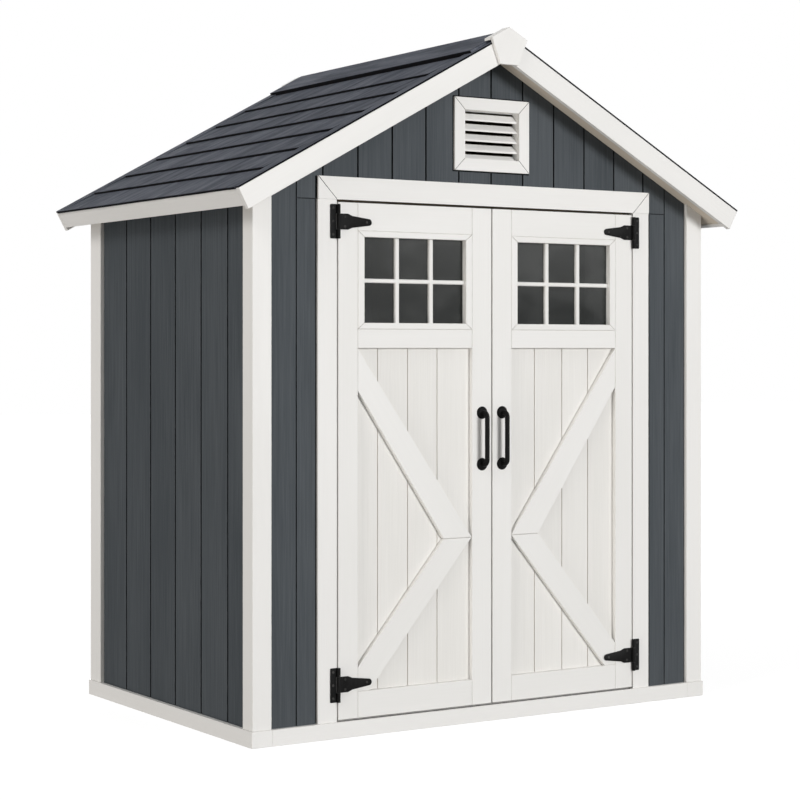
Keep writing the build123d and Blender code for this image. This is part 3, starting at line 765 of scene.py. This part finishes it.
def side_walls():
    """Side walls in wide boards, with a gap beside each post, and a darker board tone that is painted shade."""
    for node in ("left_wall", "right_wall"):
        planes = wall_planes(node, 0)
        toward = math.copysign(1.0, planes[1] - planes[0])
        cutters = bmesh.new()
        groove_boxes(cutters, SIDE_GROOVES, planes, SIDE_SLOT, SIDE_SLOT_DEPTH, 1)
        through = (planes[0] - toward * CUTTER_PROUD, planes[0] + toward * SIDE_SLOT_DEPTH)
        slot_box(cutters, 1, (POST_GAP_Y[0] - CUTTER_PAST, POST_GAP_Y[0] + END_SLOT), through, FULL_HEIGHT)
        slot_box(cutters, 1, (POST_GAP_Y[1] - END_SLOT, POST_GAP_Y[1] + CUTTER_PAST), through, FULL_HEIGHT)
        recessed = off_planes(planes, 0)
        dress(node, "siding_paint", THIN_ROUND, UP, cutters, SIDE_GROOVES, 1, recessed, painted_shade_tone=SIDE_PAINTED_SHADE_TONE)


def back_wall():
    """Back wall in narrow boards, with a gap beside each post."""
    planes = wall_planes("back_wall", 1)
    lines = [SIDING_PITCH * index for index in range(-6, 7)]
    cutters = bmesh.new()
    groove_boxes(cutters, lines, planes, SIDING_SLOT, SIDING_SLOT_DEPTH, 0)
    through = (planes[0] + CUTTER_PROUD, planes[0] - SIDING_SLOT_DEPTH)
    for sign in (-1, 1):
        across = (sign * (POST_INNER_X - END_SLOT), sign * (POST_INNER_X + CUTTER_PAST))
        slot_box(cutters, 0, across, through, FULL_HEIGHT)
    dress("back_wall", "siding_paint", THIN_ROUND, UP, cutters, lines, 0, off_planes(planes, 1))


def vent_gaps(cutters, through):
    """Gaps round the vent's frame."""
    out = VENT_HALF + VENT_SLOT
    for sign in (-1, 1):
        across = (sign * (VENT_HALF - CUTTER_LAP), sign * out)
        slot_box(cutters, 0, across, through, (VENT_LOW_Z - VENT_SLOT, VENT_HIGH_Z + VENT_SLOT))
    slot_box(cutters, 0, (-out, out), through, (VENT_LOW_Z - VENT_SLOT, VENT_LOW_Z + CUTTER_LAP))
    slot_box(cutters, 0, (-out, out), through, (VENT_HIGH_Z - CUTTER_LAP, VENT_HIGH_Z + VENT_SLOT))


def front_walls():
    """Gable and the strips beside the doors: narrow boards, with gaps at the casing, posts and vent."""
    gable_lines = [SIDING_PITCH * index for index in range(-5, 6)]
    for node, lines, seams in (
        ("front_gable", gable_lines, [-GABLE_HALF, GABLE_HALF]),
        ("front_wall_left", [], [-GABLE_HALF]),
        ("front_wall_right", [], [GABLE_HALF]),
    ):
        planes = wall_planes(node, 1)
        proud = planes[0] - CUTTER_PROUD
        through = (proud, planes[0] + SIDE_SLOT_DEPTH)
        cutters = bmesh.new()
        groove_boxes(cutters, lines, planes, SIDING_SLOT, SIDING_SLOT_DEPTH, 0)
        groove_boxes(cutters, seams, planes, GABLE_SEAM, GABLE_SEAM_DEPTH, 0)
        for sign in (-1, 1):
            across = (sign * (CASING_HALF - CUTTER_LAP), sign * (CASING_HALF + CASING_SLOT))
            slot_box(cutters, 0, across, through, (0.0, HEADER_TOP_Z))
            across = (sign * (POST_INNER_X - POST_SLOT), sign * (POST_INNER_X + CUTTER_PAST))
            slot_box(cutters, 0, across, through, FULL_HEIGHT)
            across = (sign * (CASING_HALF + CASING_SLOT + CUTTER_LAP), sign * (GABLE_HALF - GABLE_SEAM))
            upright = (HEAD_Z - HEAD_SEAM / 2, HEAD_Z + HEAD_SEAM / 2)
            slot_box(cutters, 0, across, (proud, planes[0] + HEAD_SEAM_DEPTH), upright)
        if node == "front_gable":
            vent_gaps(cutters, (proud, planes[0] + VENT_SLOT_DEPTH))
        dress(node, "siding_paint", THIN_ROUND, UP, cutters, sorted(lines + seams), 0, off_planes(planes, 1))


def mitred_trim():
    """Door casing and vent frame, with a fine kerf at each mitre whose faces get painted shade."""
    corners = []
    for sign in (-1, 1):
        corners.append(((sign * OPENING_HALF, HEAD_Z), (sign * CASING_HALF, HEADER_TOP_Z), CASING_KERF))
        corners.append(((sign * VENT_HOLE_HALF, VENT_HOLE_LOW_Z), (sign * VENT_HALF, VENT_LOW_Z), VENT_KERF))
        corners.append(((sign * VENT_HOLE_HALF, VENT_HOLE_HIGH_Z), (sign * VENT_HALF, VENT_HIGH_Z), VENT_KERF))

    # Faces of the mitre kerfs, which get painted shade
    def recessed(face):
        diagonal = abs(abs(face.normal.x) - abs(face.normal.z)) < 0.15 and abs(face.normal.y) < 0.3
        return diagonal and face.calc_center_median().y < KERF_REAR_Y

    for node in ("door_jambs", "door_header", "vent_frame"):
        cutters = bmesh.new()
        for start, end, width in corners:
            add_kerf(cutters, start, end, width, TRIM_FACE_Y, KERF_DEPTH)
        dress(node, "trim_paint", THIN_ROUND, cutters=cutters, recessed=recessed)


def vent_lining():
    """Thin painted boards round the inside of the vent's hole."""
    bm = bmesh.new()
    for sign in (-1, 1):
        across = (sign * VENT_HOLE_HALF, sign * (VENT_HOLE_HALF - LINING_THICKNESS))
        slot_box(bm, 0, across, LINING_Y, (VENT_HOLE_LOW_Z, VENT_HOLE_HIGH_Z))
    inside = VENT_HOLE_HALF - LINING_THICKNESS - LINING_GAP
    slot_box(bm, 0, (-inside, inside), LINING_Y, (VENT_HOLE_HIGH_Z - LINING_THICKNESS, VENT_HOLE_HIGH_Z))
    layers = add_layers(bm)
    rounds = soften(bm, LINING_ROUND)
    mark_boards(islands(bm), layers, rounds, None, random.Random("vent_lining"))
    finish_piece("look_vent_lining", bm, "trim_paint", "shed")


def door_panels():
    """The boarded lower panel of each door."""
    for side, lines in (("left", LEFT_PANEL_GROOVES), ("right", RIGHT_PANEL_GROOVES)):
        node = side + "_door_panel"
        planes = wall_planes(node, 1)
        cutters = bmesh.new()
        groove_boxes(cutters, lines, planes, PANEL_SLOT, PANEL_SLOT_DEPTH, 0, PANEL_SPAN)
        dress(node, "panel_paint", PANEL_ROUND, UP, cutters, lines, 0, off_planes(planes, 1))


def floor_boards():
    """Floor of boards that run from side to side."""
    low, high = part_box("floor")
    count = round((high.y - low.y) / FLOOR_PITCH)
    lines = [low.y + (high.y - low.y) * index / count for index in range(1, count)]
    cutters = bmesh.new()
    upright = (high.z - FLOOR_SLOT_DEPTH, high.z + CUTTER_PROUD)
    for line in lines:
        slot_box(cutters, 1, (line - FLOOR_SLOT / 2, line + FLOOR_SLOT / 2), (-FLOOR_REACH, FLOOR_REACH), upright)
    dress("floor", "bare_timber", PANEL_ROUND, RIGHT, cutters, lines, 1)


def up_slope(faces):
    """Direction up the roof's slope on the side where these faces lie."""
    middle = sum((face.calc_center_median().x for face in faces)) / len(faces)
    return Vector((-math.copysign(math.cos(ROOF_ANGLE), middle), 0, math.sin(ROOF_ANGLE)))


def black_edge(face):
    """True for the butts that face down the slope and for the roof's outer edges along the rakes, which get near-black
    painted shade.
    """
    if abs(face.normal.dot(up_slope([face]))) > FACING:
        return True
    return abs(face.normal.y) > FACING and abs(face.calc_center_median().y) > LIP_Y


def wear_butts(bm):
    """Lets the lower edge of each course wander by a millimetre or two."""
    rng = random.Random("roof_courses")
    for faces in islands(bm):
        slope = up_slope(faces)
        verts = {vert for face in faces for vert in face.verts}
        reach = max(vert.co.y for vert in verts)
        place = -reach + rng.uniform(*FIRST_STEP)
        group = set(faces) | {edge for face in faces for edge in face.edges} | verts
        while place < reach - LAST_STEP:
            ordered = sorted(group, key=lambda part: (type(part).__name__, part.index))
            made = bmesh.ops.bisect_plane(bm, geom=ordered, plane_co=(0, place, 0), plane_no=BACK)
            group = {part for part in made["geom"] if part.is_valid} | set(made["geom_cut"])
            for kind in (bm.verts, bm.edges, bm.faces):
                kind.index_update()
            place += rng.uniform(*NEXT_STEP)
        verts = [part for part in group if isinstance(part, bmesh.types.BMVert)]
        lowest = min(vert.co.dot(slope) for vert in verts)
        shifts = {}
        for vert in sorted(verts, key=lambda vert: round(vert.co.y, 5)):
            if vert.co.dot(slope) < lowest + BUTT_REACH:
                key = round(vert.co.y, 4)
                if key not in shifts:
                    shifts[key] = rng.uniform(0.0, BUTT_WEAR)
                vert.co += slope * shifts[key]


def roof_covering():
    """Courses, rake strips and ridge cap, brushed down the slope, with near-black painted shade on the butts and edges.
    """
    dress("roof_courses", "roof_covering", BOARD_ROUND, up_slope, recessed=black_edge, shape=wear_butts)
    dress("rake_strips", "roof_covering", THIN_ROUND, up_slope, recessed=black_edge)
    dress("ridge_cap", "roof_covering", BOARD_ROUND, BACK, recessed=black_edge)


def plain_boards():
    """Trim, door frames and inner timber, each solid one board."""
    trim = ("base_side_rails", "corner_posts", "barge_boards", "eave_fascias", "ridge_plates", "vent_louvres")
    timber = ("floor_joists", "wall_plates", "wall_studs", "roof_deck", "roof_beams")
    door = [side + part for side in ("left_door_", "right_door_") for part in DOOR_TIMBERS]
    plans = (
        ("trim_paint", trim),
        ("soffit_paint", ("rake_soffits", "eave_soffits")),
        ("bare_timber", timber),
        ("door_paint", door),
    )
    for slot, nodes in plans:
        for node in nodes:
            dress(node, slot, OTHER_ROUNDS.get(node, OTHER_ROUNDS.get(slot, BOARD_ROUND)))


def door_surround():
    """Front rail with a drip groove under the doors whose faces get painted shade, and door stops with near-black
    painted shade on the faces behind the doors.
    """
    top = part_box("base_end_rails")[1].z
    cutters = bmesh.new()
    slot_box(cutters, 0, (-DRIP_HALF, DRIP_HALF), DRIP_Y, (top - DRIP_DEPTH, top + CUTTER_PAST))

    # Faces in the drip groove, which get painted shade
    def dripping(face):
        place = face.calc_center_median()
        inside = abs(place.x) < DRIP_HALF + TOLERANCE and DRIP_Y[0] - TOLERANCE < place.y < DRIP_Y[1] + TOLERANCE
        return inside and top - DRIP_DEPTH - TOLERANCE < place.z < top - TOLERANCE

    dress("base_end_rails", "trim_paint", THIN_ROUND, RIGHT, cutters, recessed=dripping)
    # Painted shade, near black, on the stops' faces toward the doors
    dress("door_stops", "bare_timber", BOARD_ROUND, recessed=lambda face: face.normal.y < -FACING)


def add_bar(bm, start, end, width, front):
    """Glazing bar with chamfered front edges along X or Z, through the pane."""
    start, end = Vector(start), Vector(end)
    side = (end - start).normalized().cross(BACK)
    half = width / 2
    outline = [
        (half, BAR_REAR_Y),
        (half, front + BAR_CHAMFER),
        (half - BAR_CHAMFER, front),
        (BAR_CHAMFER - half, front),
        (-half, front + BAR_CHAMFER),
        (-half, BAR_REAR_Y),
    ]
    section = [start + side * across + BACK * y for across, y in outline]
    add_prism(bm, section, end - start)


def glazing_bars():
    """Two upright bars and one across in each window."""
    for side, sign in (("left", -1), ("right", 1)):
        low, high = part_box(side + "_door_window_glass")
        bm = bmesh.new()
        for x in sorted(sign * x for x in BAR_COLUMNS):
            add_bar(bm, (x, 0, low.z), (x, 0, high.z), BAR_UPRIGHT, BAR_FRONT_Y)
        add_bar(bm, (low.x, 0, BAR_MIDDLE_Z), (high.x, 0, BAR_MIDDLE_Z), BAR_CROSS, BAR_FRONT_Y + BAR_LAP)
        bmesh.ops.recalc_face_normals(bm, faces=bm.faces)
        layers = add_layers(bm)
        mark_boards(islands(bm), layers, set(), None, random.Random(side))
        finish_piece("look_" + side + "_door_glazing_bars", bm, "door_paint", side + "_door")
        glass = NODES[side + "_door_window_glass"]
        glass.data.materials.clear()
        glass.data.materials.append(MATERIALS["window_glass"])


def smooth(piece, angle):
    """Smooth shading that stays sharp at edges over an angle in degrees."""
    piece.data.shade_smooth()
    piece.data.set_sharp_from_angle(angle=math.radians(angle))


def turned(bm, profile, segments, place):
    """Solid of revolution about local -Y: the profile gives radius and height."""
    rings = []
    for radius, height in profile:
        if radius == 0:
            rings.append([bm.verts.new(place @ Vector((0, -height, 0)))])
            continue
        ring = []
        for index in range(segments):
            angle = math.tau * index / segments
            point = Vector((radius * math.cos(angle), -height, radius * math.sin(angle)))
            ring.append(bm.verts.new(place @ point))
        rings.append(ring)
    for first, second in zip(rings[:-1], rings[1:]):
        for index in range(segments):
            after = (index + 1) % segments
            corners = [first[index % len(first)], first[after % len(first)]]
            corners += [second[after % len(second)], second[index % len(second)]]
            unique = list(dict.fromkeys(corners))
            if len(unique) > 2:
                bm.faces.new(unique)


def handle_path():
    """Points of the pull's centre line at X = 0, from the lower rose to the upper one."""
    points = [(DOOR_FACE_Y, HANDLE_LOW_Z)]
    centre_y, centre_z = HANDLE_BAR_Y + HANDLE_BEND, HANDLE_LOW_Z + HANDLE_BEND
    for step in range(BEND_STEPS + 1):
        angle = math.pi / 2 * step / BEND_STEPS
        points.append((centre_y - HANDLE_BEND * math.sin(angle), centre_z - HANDLE_BEND * math.cos(angle)))
    ends = HANDLE_LOW_Z + HANDLE_HIGH_Z
    points += [(y, ends - z) for y, z in reversed(points)]
    return [Vector((0, y, z)) for y, z in points]


def add_tube(bm, path, centre, radius, sides):
    """Closed round bar along a path in the YZ plane that starts and ends along Y."""
    last = len(path) - 1
    rings = []
    for index, point in enumerate(path):
        tangent = (path[min(index + 1, last)] - path[max(index - 1, 0)]).normalized()
        if index == 0:
            tangent = -BACK
        elif index == last:
            tangent = BACK
        outward = RIGHT.cross(tangent)
        ring = []
        for side in range(sides):
            angle = math.tau * side / sides
            offset = RIGHT * math.cos(angle) + outward * math.sin(angle)
            ring.append(bm.verts.new(centre + point + offset * radius))
        rings.append(ring)
    for first, second in zip(rings[:-1], rings[1:]):
        for side in range(sides):
            after = (side + 1) % sides
            bm.faces.new((first[side], first[after], second[after], second[side]))
    bm.faces.new(rings[0])
    bm.faces.new(rings[-1])


def pull_handles():
    """Round bar bent back to the door, with a domed rose at each end."""
    path = handle_path()
    for side, sign in (("left", -1), ("right", 1)):
        bm = bmesh.new()
        add_tube(bm, path, RIGHT * sign * HANDLE_X, HANDLE_RADIUS, HANDLE_SIDES)
        for z in (HANDLE_LOW_Z, HANDLE_HIGH_Z):
            turned(bm, ROSE, ROSE_SIDES, Matrix.Translation((sign * HANDLE_X, DOOR_FACE_Y, z)))
        bmesh.ops.recalc_face_normals(bm, faces=bm.faces)
        node = side + "_door_handle"
        smooth(finish_piece("look_" + node, bm, "black_iron", side + "_door", (node,)), HANDLE_CREASE)


def screw_mesh():
    """Domed screw head with a cross recess, facing -Y at the origin."""
    bm = bmesh.new()
    turned(bm, SCREW, SCREW_SIDES, Matrix.Identity(4))
    bmesh.ops.recalc_face_normals(bm, faces=bm.faces)
    for half_x, half_z in ((RECESS_HALF_WIDTH, RECESS_HALF_LENGTH), (RECESS_HALF_LENGTH, RECESS_HALF_WIDTH)):
        slot = bmesh.new()
        slot_box(slot, 0, (-half_x, half_x), RECESS_Y, (-half_z, half_z))
        bm = cut(bm, slot)
    mesh = bpy.data.meshes.new("screw_head")
    bm.to_mesh(mesh)
    bm.free()
    return mesh


def screws(name, places, body):
    """Screw heads at these points of the face, each turned by its own angle."""
    rng = random.Random(name)
    head = screw_mesh()
    bm = bmesh.new()
    for x, y, z in places:
        mesh = head.copy()
        mesh.transform(Matrix.Translation((x, y, z)) @ Matrix.Rotation(rng.uniform(0, math.pi), 4, "Y"))
        bm.from_mesh(mesh)
        bpy.data.meshes.remove(mesh)
    bpy.data.meshes.remove(head)
    layers = add_layers(bm)
    # Every face of a screw head counts as an edge, so the whole head takes the painted highlight
    mark_boards(islands(bm), layers, set(bm.faces), UP, rng)
    smooth(finish_piece(name, bm, "black_iron", body), IRON_CREASE)


def hinges():
    """Iron tee hinges with softened edges, and their screws."""
    face_y = DOOR_FACE_Y - HINGE_PLATE
    for node in ("hinge_leaves", "left_door_hinge_straps", "right_door_hinge_straps"):
        bm = read_node(node)
        layers = add_layers(bm)
        rounds = soften(bm, IRON_ROUND)
        mark_boards(islands(bm), layers, rounds, UP, random.Random(node))
        smooth(finish_piece("look_" + node, bm, "black_iron", NODES[node]["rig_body"], (node,)), IRON_CREASE)
    fixed = []
    for sign in (-1, 1):
        for level in HINGE_LEVELS:
            fixed += [(sign * LEAF_SCREW_X, face_y, level + offset) for offset in LEAF_SCREW_LEVELS]
    screws("leaf_screws", fixed, "shed")
    for side, sign in (("left", -1), ("right", 1)):
        moving = []
        for level in HINGE_LEVELS:
            moving += [(sign * ROOT_SCREW_X, face_y, level + offset) for offset in ROOT_SCREW_LEVELS]
            moving.append((sign * TIP_SCREW_X, face_y, level))
        screws(side + "_strap_screws", moving, side + "_door")


def seen_directly(tree):
    """1 for camera, glossy and transmission rays, else 0."""
    path = tree.nodes.new("ShaderNodeLightPath")
    total = combine(tree, "ADD", path.outputs["Is Camera Ray"], path.outputs["Is Glossy Ray"])
    total = combine(tree, "ADD", total, path.outputs["Is Transmission Ray"])
    return combine(tree, "MINIMUM", total, 1.0)


def surroundings():
    """White surround for the eye, level grey light for the object, and a white floor that keeps a faint shadow."""
    world = bpy.data.worlds.new("surround")
    SCENE.world = world
    world.use_nodes = True
    tree = world.node_tree
    tree.nodes.clear()
    background = tree.nodes.new("ShaderNodeBackground")
    background.inputs["Color"].default_value = (1.0, 1.0, 1.0, 1.0)
    tree.links.new(spread(tree, seen_directly(tree), 0.0, 1.0, WORLD_LIGHT, 1.0), background.inputs["Strength"])
    output = tree.nodes.new("ShaderNodeOutputWorld")
    tree.links.new(background.outputs[0], output.inputs["Surface"])
    bm = bmesh.new()
    bmesh.ops.create_grid(bm, x_segments=1, y_segments=1, size=STAGE_HALF)
    floor = to_object("floor_plane", bm)
    floor.location.z = STAGE_Z
    floor.visible_shadow = False
    material, tree, shader = new_material("floor_white")
    shader.inputs["Base Color"].default_value = (*STAGE_COLOUR, 1.0)
    shader.inputs["Roughness"].default_value = 0.9
    shader.inputs["Specular IOR Level"].default_value = 0.0
    shader.inputs["Emission Color"].default_value = (1.0, 1.0, 1.0, 1.0)
    tree.links.new(spread(tree, seen_directly(tree), 0.0, 1.0, 0.0, STAGE_GLOW), shader.inputs["Emission Strength"])
    floor.data.materials.append(material)


def lights():
    """Soft suns: a low key from the front right, fill from the upper left, light off the ground, and one behind."""
    for name, toward, strength, angle, colour in LAMPS:
        lamp = bpy.data.lights.new(name, "SUN")
        lamp.energy = strength
        lamp.angle = math.radians(angle)
        lamp.color = colour
        made = bpy.data.objects.new(name, lamp)
        made.rotation_euler = Vector(toward).to_track_quat("-Z", "Y").to_euler()
        SCENE.collection.objects.link(made)


def camera():
    """Level camera with a long lens, left of the doors' middle."""
    data = bpy.data.cameras.new("camera")
    data.sensor_width = CAMERA_SENSOR
    data.lens = CAMERA_LENS
    data.shift_y = CAMERA_SHIFT_Y
    data.clip_end = CAMERA_REACH
    made = bpy.data.objects.new("camera", data)
    made.location = CAMERA_PLACE
    made.rotation_euler = CAMERA_TURN
    SCENE.collection.objects.link(made)
    SCENE.camera = made


plain_boards()
door_surround()
roof_covering()
mitred_trim()
vent_lining()
side_walls()
back_wall()
front_walls()
door_panels()
floor_boards()
glazing_bars()
pull_handles()
hinges()
surroundings()
lights()
camera()
SCENE.view_settings.view_transform = "Standard"
